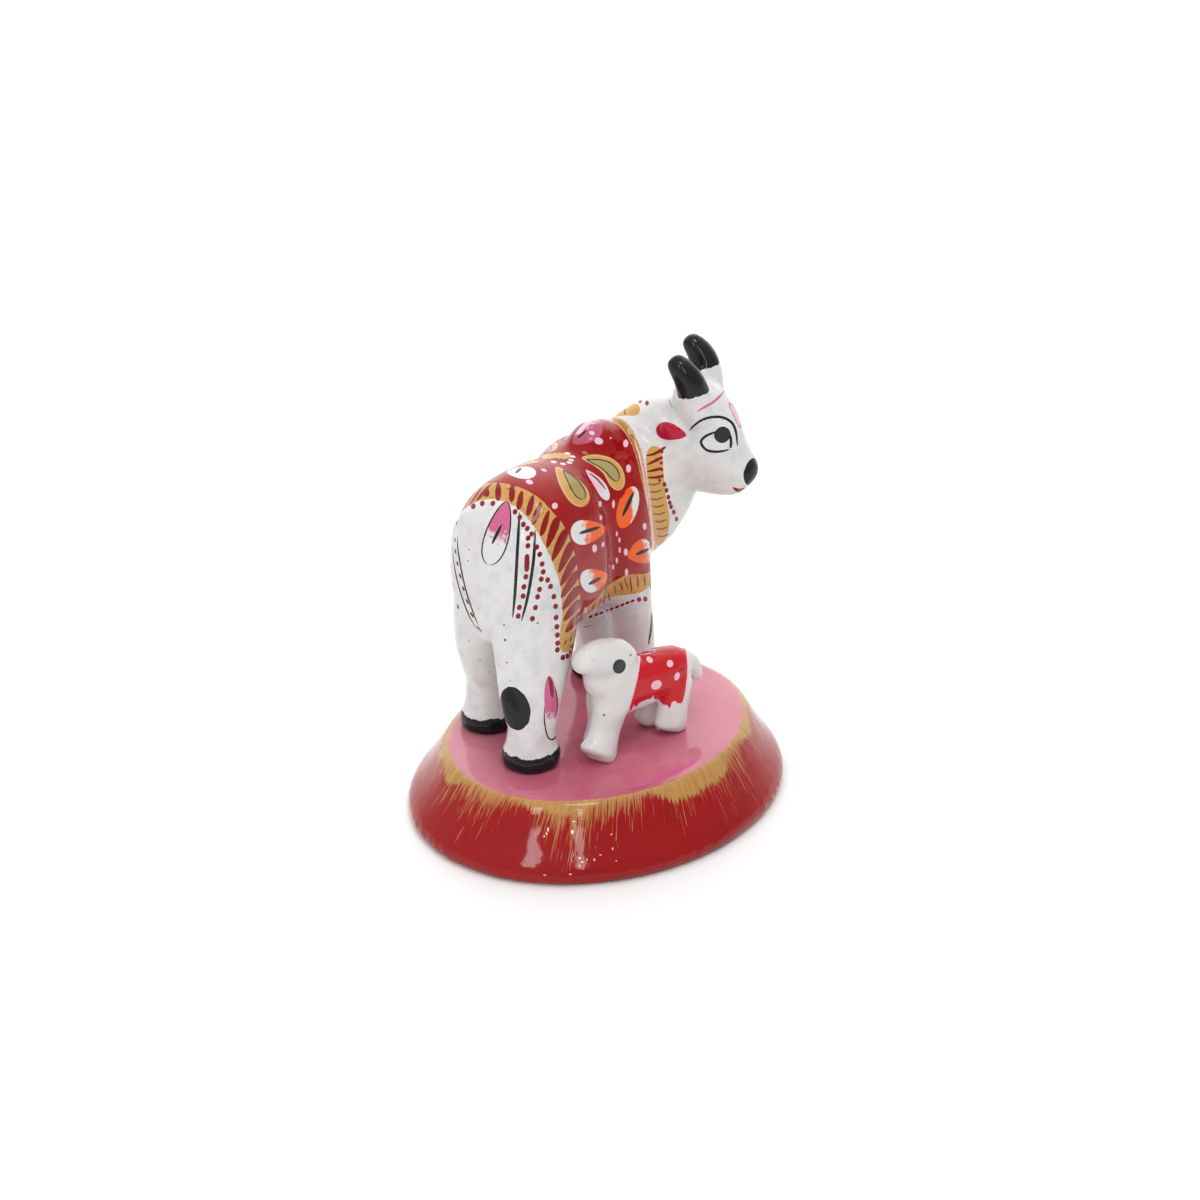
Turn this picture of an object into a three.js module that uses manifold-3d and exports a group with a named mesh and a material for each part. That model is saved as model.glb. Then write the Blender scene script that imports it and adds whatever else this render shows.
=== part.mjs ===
// Cow and calf statuette: an enamelled casting of a cow that stands on a low oval base with its calf
// at its side. Millimetres, +Z up. The origin is the centre of the base's underside, +X runs along
// the base to the end where the cow's chest is, and +Y is the cow's left.

import * as THREE from 'three';
import { LoftGeometry } from 'three/addons/geometries/LoftGeometry.js';
import * as BufferGeometryUtils from 'three/addons/utils/BufferGeometryUtils.js';
import Module from 'manifold-3d';

const wasm = await Module();
wasm.setup();

// Driving dimensions of the base, and of the soldered joint between it and the feet
const BASE_HEIGHT = 11.45;
const BASE_TOP_LENGTH = 56.2;
const BASE_TOP_WIDTH = 44.8;
const BASE_FLARE = 6.4;
const GAP = 0.3;
const FLOOR = BASE_HEIGHT + GAP;

// The cow: the line it stands on, its body from rump to chest with the height of its middle, and how
// far it reaches from there to both sides, up to the back and down to the belly
const COW_Y = 7.6;
const BODY = { rump: -16.4, chest: 12.8, middle: 43, wide: 10, top: 12, under: 15 };
const HIP = { x: -11, y: 4.9 };
const SHOULDER = { x: 9.8, y: 5.2 };
const HIND_SHANK = 3.9;
const FORE_SHANK = 3.5;
const HOOF_HEIGHT = 3.6;
const HOOF_FLARE = 0.9;
const HORN_THICKNESS = 2.4;
const TAIL_THICKNESS = 1.3;

// The calf: half its body's width and depth, the height of its middle above the feet, and its legs
const CALF_WIDE = 3.4;
const CALF_DEEP = 3.9;
const CALF_MIDDLE = 8.9;
const CALF_SHANK = 1.8;

const UP = new THREE.Vector3(0, 0, 1);
const FORWARD = new THREE.Vector3(1, 0, 0);

// Frames that parts of the animals are modelled in: turned about Z, then nose down

function frameAt(place, turn, noseDown = 0) {
  const angles = new THREE.Euler(0, THREE.MathUtils.degToRad(noseDown), THREE.MathUtils.degToRad(turn), 'ZYX');
  return new THREE.Matrix4().makeRotationFromEuler(angles).setPosition(...place);
}

const COW = frameAt([0, COW_Y, 0], 0);
const HEAD = frameAt([21.7, -4.9, 55.5], -70, 41);
const CALF = frameAt([-1.9, -7.1, FLOOR], 168);

// Casting helpers: a solid is lofted from rings round a smooth spine, and solids are joined in one

function solidOf(geometry) {
  const bare = new THREE.BufferGeometry().setIndex(geometry.index);
  bare.setAttribute('position', geometry.attributes.position);
  const merged = BufferGeometryUtils.mergeVertices(bare, 1e-4);
  const mesh = new wasm.Mesh({
    numProp: 3,
    vertProperties: Float32Array.from(merged.attributes.position.array),
    triVerts: Uint32Array.from(merged.index.array),
  });
  return new wasm.Manifold(mesh);
}

function geometryOf(solid) {
  const { vertProperties, triVerts } = solid.getMesh();
  const geometry = new THREE.BufferGeometry();
  geometry.setAttribute('position', new THREE.BufferAttribute(vertProperties, 3));
  geometry.setIndex(new THREE.BufferAttribute(triVerts, 1));
  geometry.computeVertexNormals();
  return geometry;
}

function join(solids) {
  return solids.reduce((whole, next) => whole.add(next));
}

// Cuts a standing animal off flat just above the base
function stand(solid) {
  const size = 200;
  const below = new THREE.BoxGeometry(size, size, size).translate(0, 0, FLOOR - size / 2);
  return solid.subtract(solidOf(below));
}

// A cosine or sine drawn towards a square's side as bulge rises above 1
function squared(value, bulge) {
  return Math.sign(value) * Math.abs(value) ** (1 / bulge);
}

// One ring of a limb: half-width to both sides, half-height above and below the spine
function ring(centre, tangent, up, size, sides, bulge) {
  const left = new THREE.Vector3().crossVectors(up, tangent).normalize();
  const top = new THREE.Vector3().crossVectors(tangent, left);
  return Array.from({ length: sides }, (_, i) => {
    const angle = (i / sides) * 2 * Math.PI;
    const reach = squared(Math.cos(angle), bulge) * size.wide;
    const rise = squared(Math.sin(angle), bulge) * (Math.sin(angle) > 0 ? size.top : size.under);
    return centre.clone().addScaledVector(left, reach).addScaledVector(top, rise);
  });
}

// A limb is a list of stations [x, y, z, half-width, half-height above, half-height below] along its
// spine, in its own frame. Both ends are closed by domes of the lengths given.
function limb(frame, stations, options = {}) {
  const { sides = 14, steps = 2, up = UP, startDome = 1, endDome = 1, bulge = 1 } = options;
  const spine = new THREE.CatmullRomCurve3(
    stations.map(([x, y, z]) => new THREE.Vector3(x, y, z)), false, 'catmullrom');
  const sizes = new THREE.CatmullRomCurve3(
    stations.map(([, , , wide, top, under = top]) => new THREE.Vector3(wide, top, under)), false, 'catmullrom');
  const sections = [];
  const add = (t, shift, shrink) => {
    const tangent = spine.getTangent(t);
    const [wide, top, under] = sizes.getPoint(t).multiplyScalar(shrink).toArray();
    const centre = spine.getPoint(t).addScaledVector(tangent, shift);
    sections.push(ring(centre, tangent, up, { wide, top, under }, sides, bulge));
  };
  const domeAngles = [75, 40].map(THREE.MathUtils.degToRad);
  domeAngles.forEach((a) => add(0, -startDome * Math.sin(a), Math.cos(a)));
  const count = (stations.length - 1) * steps;
  for (let i = 0; i <= count; i += 1) add(i / count, 0, 1);
  domeAngles.toReversed().forEach((a) => add(1, endDome * Math.sin(a), Math.cos(a)));
  const geometry = new LoftGeometry(sections, { closed: true, capStart: true, capEnd: true });
  return solidOf(geometry.applyMatrix4(frame));
}

// The same, with every station's sizes given as shares of one thickness
function evenLimb(frame, thickness, stations, options) {
  const sized = stations.map(([x, y, z, ...shares]) => [x, y, z, ...shares.map((share) => share * thickness)]);
  return limb(frame, sized, options);
}

// Oval base: a stack of ovals, each set out from the rim by its flare

function ovalBase() {
  const sides = 60;
  const heights = [0, 0.03, 0.12, 0.28, 0.4, 0.52, 0.66, 0.8, 0.92, 0.98, 1];
  const flares = [0.84, 0.94, 1, 0.85, 0.68, 0.52, 0.36, 0.21, 0.08, -0.02, -0.12];
  const sections = heights.map((height, level) => {
    const flare = flares[level] * BASE_FLARE;
    return Array.from({ length: sides }, (_, i) => {
      const angle = (i / sides) * 2 * Math.PI;
      return new THREE.Vector3(
        Math.cos(angle) * (BASE_TOP_LENGTH / 2 + flare),
        Math.sin(angle) * (BASE_TOP_WIDTH / 2 + flare),
        height * BASE_HEIGHT);
    });
  });
  return solidOf(new LoftGeometry(sections, { closed: true, capStart: true, capEnd: true }));
}

// Cow: body, hump and neck in the cow's frame, face, horns and ears in the turned head's

// Rows from rump to chest: share of the length, rise of the middle, shares of width, top and under
function cowTorso() {
  const rows = [
    [0, 0.2, 0.92, 0.8, 0.87],
    [0.12, 0, 1.03, 1.02, 0.97],
    [0.27, 0, 1.01, 1.1, 1],
    [0.45, 0, 0.99, 1.1, 1],
    [0.55, 0.2, 0.96, 1.08, 1.02],
    [0.64, 0.6, 0.83, 1.05, 1.03],
    [0.74, 0.9, 0.95, 1.05, 1.05],
    [0.87, 1.2, 1.03, 1.05, 1.2],
    [1, 1.2, 0.97, 1, 1.13],
  ];
  const stations = rows.map(([along, rise, wide, top, under]) => [
    THREE.MathUtils.lerp(BODY.rump, BODY.chest, along), 0, BODY.middle + rise,
    BODY.wide * wide, BODY.top * top, BODY.under * under,
  ]);
  return limb(COW, stations, { sides: 28, startDome: 2.6, endDome: 2.8, bulge: 1.2 });
}

function hump() {
  return limb(COW, [
    [4.6, -0.6, 54.6, 3, 3],
    [8, -0.8, 55.6, 4.2, 4.2],
    [12, -1, 54.4, 4.2, 4.2],
  ], { startDome: 2, endDome: 2 });
}

function neck() {
  return limb(COW, [
    [8, -0.4, 42.5, 8, 13, 11.5],
    [13.8, -2.8, 47, 7.2, 11.8, 13],
    [18.4, -5.6, 52.6, 6, 8.8, 10.4],
    [20.6, -9.8, 56.2, 5.4, 7.2, 8.2],
  ], { sides: 20, steps: 3, startDome: 2, endDome: 2 });
}

function head() {
  return limb(HEAD, [
    [-3, 0, 0, 4.8, 6.6, 7],
    [0, 0, 0, 5.6, 7.6, 8.8],
    [3, 0, 0, 5.3, 6.2, 8.6],
    [6, 0, 0, 4.4, 4.4, 7.2],
    [8.2, 0, 0, 3.7, 3.7, 5.6],
    [9.8, 0, 0, 3.2, 3, 4],
  ], { sides: 20, startDome: 1.5, endDome: 1.2 });
}

// Fills the dip between the neck's crest and the horns
function poll() {
  return limb(HEAD, [
    [-7, 0, 4, 3.6, 3.4],
    [-3.6, 0, 5.2, 4.6, 3],
    [0, 0, 4.2, 4.4, 3],
  ], { startDome: 2, endDome: 2 });
}

function horn(side) {
  return evenLimb(HEAD, HORN_THICKNESS, [
    [-3, side * 3, 3.4, 1.3, 1.3],
    [-6.2, side * 4.3, 6.6, 1.08, 1.12],
    [-9, side * 5, 8.2, 0.94, 0.94],
    [-11.6, side * 5, 8.6, 0.7, 0.7],
  ], { sides: 12, startDome: 0.8, endDome: 1.2 });
}

function ear(side) {
  return limb(HEAD, [
    [-2, side * 4.8, -0.4, 0.9, 1.4],
    [-4.2, side * 5.4, -0.4, 0.9, 1.7],
    [-6.2, side * 5.6, 0.2, 0.7, 1],
  ], { sides: 10, startDome: 0.6, endDome: 0.8 });
}

// A leg from inside the body down to its hoof, which flares on the base
function cowLeg(stations, [x, y], shank) {
  const hoofTop = FLOOR + HOOF_HEIGHT;
  return limb(COW, [
    ...stations,
    [x, y, hoofTop, shank, shank + 0.2],
    [x, y, hoofTop - 1.4, shank + 0.7 * HOOF_FLARE, shank + 0.9 * HOOF_FLARE],
    [x, y, FLOOR + 0.4, shank + HOOF_FLARE, shank + 1.2 * HOOF_FLARE],
  ], { sides: 16, up: FORWARD });
}

// The hock's place is halfway between the haunch and the hoof
function hindLeg(side, hoof) {
  const [x, y] = hoof;
  const haunch = [HIP.x - 0.6, side * (HIP.y + 0.3)];
  return cowLeg([
    [HIP.x, side * HIP.y, BODY.middle - 1, 5, 7],
    [...haunch, 34, 5, 7],
    [(x + haunch[0]) / 2, (y + haunch[1]) / 2, 27, 4.6, 6.2],
    [x + 0.6, y, 20, HIND_SHANK, HIND_SHANK + 0.5],
  ], hoof, HIND_SHANK);
}

function foreLeg(side, hoof) {
  const [x, y] = hoof;
  const elbow = [SHOULDER.x + 1, side * SHOULDER.y];
  return cowLeg([
    [SHOULDER.x, side * SHOULDER.y, BODY.middle - 1, 4.4, 5],
    [...elbow, 34, 4.2, 4.6],
    [(x + elbow[0]) / 2, (y + elbow[1]) / 2, 27, 3.7, 4],
    [x, y, 20, FORE_SHANK - 0.1, FORE_SHANK + 0.1],
  ], hoof, FORE_SHANK);
}

// The tail hangs from the rump and turns in to the right hind leg, where its tuft is
function cowTail() {
  return evenLimb(COW, TAIL_THICKNESS, [
    [-14.6, 0, 53, 1, 0.8],
    [-17.6, 0, 49.4, 1.1, 0.9],
    [-18.6, -0.1, 43.5, 1.1, 0.9],
    [-18.7, -0.8, 37, 1, 0.9],
    [-18.4, -2.2, 31, 1, 1],
    [-19.5, -4.4, 25, 1.4, 1.1],
    [-20, -6, 21, 1.7, 1.1],
    [-19.8, -6.3, 18.6, 1.3, 0.9],
  ], { sides: 10, up: FORWARD });
}

function cow() {
  return stand(join([
    cowTorso(), hump(), neck(), head(), poll(), horn(1), horn(-1), ear(1), ear(-1),
    hindLeg(-1, [-16.8, -6.7]), hindLeg(1, [-10.3, 6.7]),
    foreLeg(-1, [13.6, -5.2]), foreLeg(1, [15.2, 3.8]),
    cowTail(),
  ]));
}

// Calf, modelled along its own length above the base

// Stations of a leg: x, distance to its side, z, and shares of the shank sideways and lengthwise
function calfLeg(side, stations) {
  const placed = stations.map(([x, y, z, wide, deep]) => [x, side * y, z, wide, deep]);
  return evenLimb(CALF, CALF_SHANK, placed, { sides: 12, up: FORWARD, endDome: 0.6 });
}

function calfTorso() {
  return limb(CALF, [
    [-11.1, 0, CALF_MIDDLE, CALF_WIDE - 0.4, CALF_DEEP - 0.1, CALF_DEEP - 0.7],
    [-8, 0, CALF_MIDDLE, CALF_WIDE + 0.1, CALF_DEEP + 0.6, CALF_DEEP],
    [-2, 0, CALF_MIDDLE, CALF_WIDE - 0.1, CALF_DEEP + 1.1, CALF_DEEP - 0.1],
    [3, 0, CALF_MIDDLE, CALF_WIDE - 0.2, CALF_DEEP + 1.8, CALF_DEEP + 0.1],
    [6, 0, CALF_MIDDLE - 0.2, CALF_WIDE - 0.4, CALF_DEEP + 1.6, CALF_DEEP + 0.1],
  ], { startDome: 1.4, bulge: 1.15 });
}

// The neck runs down into the near foreleg as one trunk, so it is deep from nape to throat
function calfNeck() {
  return limb(CALF, [
    [3.9, 0, 15, CALF_WIDE - 1, 4.8, 4.6],
    [3.6, 0, 12.6, CALF_WIDE - 0.4, 5.2],
    [3.5, 0.2, 9.8, CALF_WIDE - 0.3, 4.4, 4.8],
    [4.4, 0.7, 7, CALF_WIDE - 0.6, 3.3, 3.7],
  ], { up: FORWARD });
}

function calfFace() {
  return limb(CALF, [
    [0.2, 0, 13.4, CALF_WIDE - 1.2, 2.6],
    [2.6, 0, 14.8, CALF_WIDE - 0.5, 3.6],
    [6.4, 0, 16.2, CALF_WIDE - 0.6, 3.3],
    [8.9, 0, 16.8, CALF_WIDE - 1.2, 2.5, 2],
  ], { sides: 16, startDome: 1.5, endDome: 1.5 });
}

function calfTail() {
  return limb(CALF, [
    [-11, 0.4, 10.4, 1.9, 2.2],
    [-13.4, 0.8, 8.9, 1.5, 1.7],
    [-14.4, 1, 6.8, 1, 1.1],
  ], { sides: 8 });
}

function calf() {
  const nearFore = [
    [4.6, 0.9, 7.4, 1.5, 1.9], [5.9, 1.2, 4.2, 1.15, 1.6],
    [7.2, 1.8, 2.2, 1.2, 1.65], [8.4, 2.2, 0.8, 1.35, 2.05],
  ];
  const farFore = [
    [4.6, 1, 8, 1.3, 1.5], [4.9, 1.3, 4.4, 0.9, 1.1], [5.4, 1.4, 1.8, 0.95, 1.1], [5.8, 1.4, 0.8, 1, 1.2],
  ];
  const nearHind = [[-9, 1.5, 8, 1.3, 2], [-8.1, 2.1, 4.2, 1.15, 1.7], [-7, 2.7, 0.6, 1.15, 1.7]];
  const farHind = [[-8.6, 1.4, 8, 1.2, 1.5], [-7, 1.6, 4.2, 1, 1.2], [-5.6, 1.6, 0.6, 1, 1.1]];
  return stand(join([
    calfTorso(), calfNeck(), calfFace(), calfTail(),
    calfLeg(1, nearFore), calfLeg(-1, farFore), calfLeg(1, nearHind), calfLeg(-1, farHind),
  ]));
}

// Scene graph: one named mesh for each casting

const ENAMEL = { roughness: 0.15, metalness: 0 };

function casting(name, solid, color) {
  const mesh = new THREE.Mesh(geometryOf(solid), new THREE.MeshStandardMaterial({ color, ...ENAMEL }));
  mesh.name = name;
  return mesh;
}

const statuette = new THREE.Group();
statuette.add(casting('oval_base', ovalBase(), 0xc44a6a));
statuette.add(casting('cow', cow(), 0xf2f2f4));
statuette.add(casting('calf', calf(), 0xf2f2f4));

export default statuette;
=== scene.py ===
# Cow and calf statuette, dressed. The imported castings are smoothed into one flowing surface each,
# and then enamelled: what is painted is laid out as paths and regions on the surface, and drawn by
# the materials. Lengths are in millimetres, or in pixels of the photograph. A place on the animals
# is given by the pixel that shows it, and is found on the surface by a ray.

import math

import bpy
import numpy as np
from mathutils import Matrix, Vector
from mathutils.bvhtree import BVHTree


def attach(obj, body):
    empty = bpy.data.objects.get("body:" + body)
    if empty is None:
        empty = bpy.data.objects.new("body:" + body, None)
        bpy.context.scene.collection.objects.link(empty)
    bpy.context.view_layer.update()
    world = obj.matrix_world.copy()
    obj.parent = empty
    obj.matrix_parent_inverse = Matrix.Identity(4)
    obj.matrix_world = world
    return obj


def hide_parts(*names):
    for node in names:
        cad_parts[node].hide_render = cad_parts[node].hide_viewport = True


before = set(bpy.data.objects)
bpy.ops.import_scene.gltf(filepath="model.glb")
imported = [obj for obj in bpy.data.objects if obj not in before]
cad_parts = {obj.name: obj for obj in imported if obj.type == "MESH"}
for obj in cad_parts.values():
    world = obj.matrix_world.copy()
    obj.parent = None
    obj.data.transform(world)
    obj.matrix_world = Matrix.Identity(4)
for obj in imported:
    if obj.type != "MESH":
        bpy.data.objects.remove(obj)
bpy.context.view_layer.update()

MM = 0.001
# Heights of the base's top and of the castings' feet
BASE_TOP = 11.45
FEET = 11.75
# The cow's middle plane and its body's height, its head, and where the calf stands and faces
COW_Y = 7.6
BODY_MIDDLE = 43
HEAD_PLACE = (21.7, -4.9, 55.5)
HEAD_TURN = math.radians(-70)
HEAD_NOD = math.radians(41)
HEAD_LEFT = np.array([-math.sin(HEAD_TURN), math.cos(HEAD_TURN), 0])
HEAD_AHEAD = np.array([math.cos(HEAD_TURN), math.sin(HEAD_TURN), -math.tan(HEAD_NOD)]) * math.cos(HEAD_NOD)
CALF_PLACE = (-1.9, -7.1, 0)
CALF_TURN = math.radians(168)

# The photograph's frame: its size and focal length in pixels, where it looks, and from where
PHOTO_SIZE = 1200
FOCAL = 2800
SENSOR = 36
TARGET = Vector((0.2, -0.3, 33.5))
DISTANCE = 445.2
TURN = math.radians(54.4)
RISE = math.radians(25.5)
PIXEL = DISTANCE / FOCAL
NEAREST_SIGHT = 10

# The studio's brightness, and where it changes: towards a direction, from one cosine to another
STUDIO_LIGHT = 0.66
STUDIO_GLOWS = (
    ((math.sin(TURN), math.cos(TURN), 0.4), 0.45, 0.95, 1.2),
    ((0, 0, 1), 0.4, 1.0, 0.3),
    ((0, -1, 0.1), 0.3, 0.85, -0.25),
)
# Soft boxes: name, place, width, height and power in watts, and what they face
SOFT_BOXES = (
    ("left_window", (-366, -67, 300), 54, 140, 0.19),
    ("right_window", (-262, -264, 300), 46, 140, 0.15),
    ("ceiling", (-60, -120, 460), 120, 120, 0.35),
)
LIGHT_AIM = Vector((0, 0, 30))

# Enamel colours
WHITE = (0.74, 0.73, 0.715)
GREY_WHITE = (0.48, 0.52, 0.56)
ROSE_WHITE = (0.72, 0.62, 0.62)
RED = (0.33, 0.005, 0.006)
DARK_RED = (0.26, 0.006, 0.008)
GOLD = (0.60, 0.34, 0.10)
BROWN = (0.24, 0.07, 0.015)
RUST = (0.30, 0.07, 0.03)
PINK = (0.48, 0.10, 0.155)
LIGHT_PINK = (0.57, 0.15, 0.21)
# a painted sheen on the base's pink top, paler towards both sides
PINK_SHEEN = (0.66, 0.27, 0.34)
HOT_PINK = (0.60, 0.13, 0.27)
BRASS = (0.36, 0.17, 0.05)
SALMON = (0.55, 0.16, 0.08)
DEEP_RED = (0.30, 0.004, 0.006)
PALE_PINK = (0.85, 0.52, 0.62)
ORANGE = (0.86, 0.12, 0.015)
BLACK = (0.012, 0.012, 0.014)
SLATE = (0.032, 0.035, 0.033)
MAROON = (0.24, 0.006, 0.016)
GREY = (0.16, 0.15, 0.16)
BLUE_GREY = (0.24, 0.28, 0.36)
PALE_GOLD = (0.66, 0.45, 0.19)
# a painted glint: the bright colour of the metal flecks' sparkle on the base
PAINTED_GLINT_COLOUR = (0.95, 0.72, 0.40)
OLIVE = (0.40, 0.30, 0.12)
ROSE = (0.58, 0.12, 0.25)
BRIGHT_RED = (0.58, 0.012, 0.018)
CRIMSON = (0.45, 0.010, 0.035)
SOFT_PINK = (0.47, 0.095, 0.17)


# Camera, floor and light


def make_camera():
    back = Vector((-math.sin(TURN) * math.cos(RISE), -math.cos(TURN) * math.cos(RISE), math.sin(RISE)))
    data = bpy.data.cameras.new("camera")
    data.sensor_width = SENSOR
    data.lens = SENSOR * FOCAL / PHOTO_SIZE
    data.clip_start = NEAREST_SIGHT * MM
    camera = bpy.data.objects.new("camera", data)
    camera.location = (TARGET + back * DISTANCE) * MM
    camera.rotation_euler = back.to_track_quat("Z", "Y").to_euler()
    bpy.context.scene.collection.objects.link(camera)
    bpy.context.scene.camera = camera
    bpy.context.view_layer.update()
    return camera


def soft_box(name, place, width, height, power):
    """A rectangular area light at a place in millimetres, facing the figure."""
    data = bpy.data.lights.new(name, "AREA")
    data.shape = "RECTANGLE"
    data.size = width * MM
    data.size_y = height * MM
    data.energy = power
    light = bpy.data.objects.new(name, data)
    light.location = Vector(place) * MM
    away = Vector(place) - LIGHT_AIM
    light.rotation_euler = away.to_track_quat("Z", "Y").to_euler()
    bpy.context.scene.collection.objects.link(light)


def make_world():
    """A white studio: brighter behind the figure and overhead, and dim past its right side."""
    world = bpy.data.worlds.new("studio")
    shader = Shader(world)
    direction = shader.node("ShaderNodeTexCoord").outputs["Generated"]
    strength = STUDIO_LIGHT
    for towards, start, end, change in STUDIO_GLOWS:
        feeds = {0: direction, 1: Vector(towards).normalized()}
        facing = shader.node("ShaderNodeVectorMath", feeds, operation="DOT_PRODUCT")
        glow = shader.times(shader.rise(facing.outputs["Value"], start, end), change)
        strength = shader.add(glow, strength)
    light = shader.node("ShaderNodeBackground", {"Color": (1, 1, 1), "Strength": strength})
    shader.node("ShaderNodeOutputWorld", {"Surface": light.outputs[0]})
    bpy.context.scene.world = world


def make_lights():
    make_world()
    for box in SOFT_BOXES:
        soft_box(*box)


# Materials

# The enamel's index of refraction, higher on the thickly flooded base
COW_GLOSS = 1.34
BASE_GLOSS = 1.37
# The coat's waves over millimetres, calmer on the base, and its ripples over less
WAVE_SIZE = 3.2
WAVE_HEIGHT = 0.13
BASE_WAVE_HEIGHT = 0.075
RIPPLE_SIZE = 0.8
RIPPLE_HEIGHT = 0.01
ROUGHNESS = 0.07
# Half the width over which one colour gives way to another, in millimetres
SOFTNESS = 0.03


class Shader:
    """Short calls for the nodes of a material or of the world."""

    def __init__(self, owner):
        self.owner = owner
        owner.use_nodes = True
        self.tree = owner.node_tree
        self.tree.nodes.clear()
        self.place = self.node("ShaderNodeTexCoord").outputs["Object"]

    def node(self, kind, feeds=None, **settings):
        """A new node with its settings, and with what feeds its inputs, by name or number."""
        made = self.tree.nodes.new(kind)
        for key, value in settings.items():
            setattr(made, key, value)
        for key, value in (feeds or {}).items():
            self.feed(made.inputs[key], value)
        return made

    def feed(self, socket, value):
        if isinstance(value, bpy.types.NodeSocket):
            self.tree.links.new(value, socket)
        elif socket.type == "RGBA":
            socket.default_value = (*value, 1)
        else:
            socket.default_value = value

    def math(self, operation, first, second=0.0):
        return self.node("ShaderNodeMath", {0: first, 1: second}, operation=operation).outputs[0]

    def add(self, first, second):
        return self.math("ADD", first, second)

    def minus(self, first, second):
        return self.math("SUBTRACT", first, second)

    def times(self, first, second):
        return self.math("MULTIPLY", first, second)

    def mix(self, share, below, above):
        feeds = {0: share, 6: below, 7: above}
        return self.node("ShaderNodeMix", feeds, data_type="RGBA").outputs[2]

    def attribute(self, name):
        return self.node("ShaderNodeAttribute", attribute_name=name)

    def level(self, name):
        """The number that an attribute of the mesh gives."""
        return self.attribute(name).outputs["Fac"]

    def split(self, vector):
        return self.node("ShaderNodeSeparateXYZ", {0: vector}).outputs

    def noise(self, size, detail=2.0, vector=None, seed=0.0):
        """Noise from about 0.25 to 0.75 with features of a size in millimetres."""
        scale = 1 / (size * MM) if vector is None else 1 / size
        feeds = {"Vector": vector or self.place, "W": seed, "Scale": scale, "Detail": detail}
        return self.node("ShaderNodeTexNoise", feeds, noise_dimensions="4D").outputs["Fac"]

    def rise(self, value, low, high):
        """0 below low, 1 above high, smooth between."""
        feeds = {"Value": value, "From Min": low, "From Max": high}
        return self.node("ShaderNodeMapRange", feeds, interpolation_type="SMOOTHSTEP").outputs[0]

    def edge(self, depth, softness=SOFTNESS):
        """0 outside and 1 inside a region, for how far inside it a place is."""
        return self.rise(depth, -softness, softness)

    def lay(self, ground, colour, depth, softness=SOFTNESS):
        """A colour over a ground inside a region."""
        return self.mix(self.edge(depth, softness), ground, colour)

    def patches(self, size, low, high, detail=2.0, vector=None, seed=0.0):
        """1 in patches of a size and 0 between them: noise that rises between two levels."""
        return self.rise(self.noise(size, detail, vector, seed), low, high)

    def wobble(self, size, amount, seed=0.0):
        """Noise about 0, at most about amount either way."""
        return self.times(self.minus(self.noise(size, seed=seed), 0.5), amount * 2)

    def surface(self, colour, roughness, **feeds):
        feeds = {"Base Color": colour, "Roughness": roughness, **feeds}
        shine = self.node("ShaderNodeBsdfPrincipled", feeds)
        self.node("ShaderNodeOutputMaterial", {"Surface": shine.outputs[0]})
        return self.owner

    def enamel(self, colour, gloss=COW_GLOSS, wave_height=WAVE_HEIGHT):
        """Glossy enamel of a colour: a coat with waves and ripples."""
        waves = self.times(self.noise(WAVE_SIZE, 1.0, seed=3.0), wave_height * MM)
        ripples = self.times(self.noise(RIPPLE_SIZE, seed=7.0), RIPPLE_HEIGHT * MM)
        bump = self.node("ShaderNodeBump", {"Height": self.add(waves, ripples), "Distance": 1.0})
        return self.surface(colour, ROUGHNESS, IOR=gloss, Normal=bump.outputs[0])


# Painted marks: how steeply they end past their tips, and for their edges and for the change to
# their other colour, the size and amount of a wobble, and a softness
END_STEEPNESS = 9.0
MARK_RAGGED = (0.5, 0.05)
CHANGE_RAGGED = (0.8, 0.6)
MARK_SOFTNESS = 0.035
CHANGE_SOFTNESS = 0.2


def marks_over(shader, layer, ground):
    """Lays a layer of painted marks over a colour. A mark's attributes give where a point of the
    surface is on it, how wide it is there, and its colours."""
    along, across, second = shader.split(shader.attribute(layer + "_place").outputs["Vector"])
    width, taper, fullness = shader.split(shader.attribute(layer + "_form").outputs["Vector"])
    fill = shader.attribute(layer + "_fill").outputs["Color"]
    other = shader.attribute(layer + "_other").outputs["Color"]
    edge = shader.attribute(layer + "_edge")
    power = shader.math("POWER", shader.math("ABSOLUTE", along), fullness)
    profile = shader.math("SQRT", shader.math("MAXIMUM", shader.minus(1.0, power)))
    lean = shader.add(1.0, shader.times(taper, along))
    reach = shader.times(shader.times(profile, lean), width)
    past_end = shader.math("MAXIMUM", shader.minus(shader.math("ABSOLUTE", along), 1.0))
    depth = shader.minus(reach, shader.math("ABSOLUTE", across))
    depth = shader.minus(depth, shader.times(past_end, END_STEEPNESS))
    depth = shader.add(depth, shader.wobble(*MARK_RAGGED))
    change = shader.add(second, shader.wobble(*CHANGE_RAGGED, seed=5.0))
    body = shader.lay(fill, other, change, CHANGE_SOFTNESS)
    rim = shader.minus(edge.outputs["Alpha"], depth)
    body = shader.lay(body, edge.outputs["Color"], rim)
    return shader.lay(ground, body, depth, MARK_SOFTNESS)


# Meshes: smoothed copies of the castings


def points_of(mesh):
    points = np.empty(len(mesh.vertices) * 3, np.float32)
    mesh.vertices.foreach_get("co", points)
    return points.reshape(-1, 3).astype(float) / MM


def put_points(mesh, points):
    mesh.vertices.foreach_set("co", (points * MM).astype(np.float32).ravel())
    mesh.update()


def with_modifiers(piece):
    """Swaps a piece's mesh for the one that its modifiers give."""
    ready = piece.evaluated_get(bpy.context.evaluated_depsgraph_get())
    mesh = bpy.data.meshes.new_from_object(ready)
    piece.modifiers.clear()
    old, piece.data = piece.data, mesh
    bpy.data.meshes.remove(old)


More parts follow.
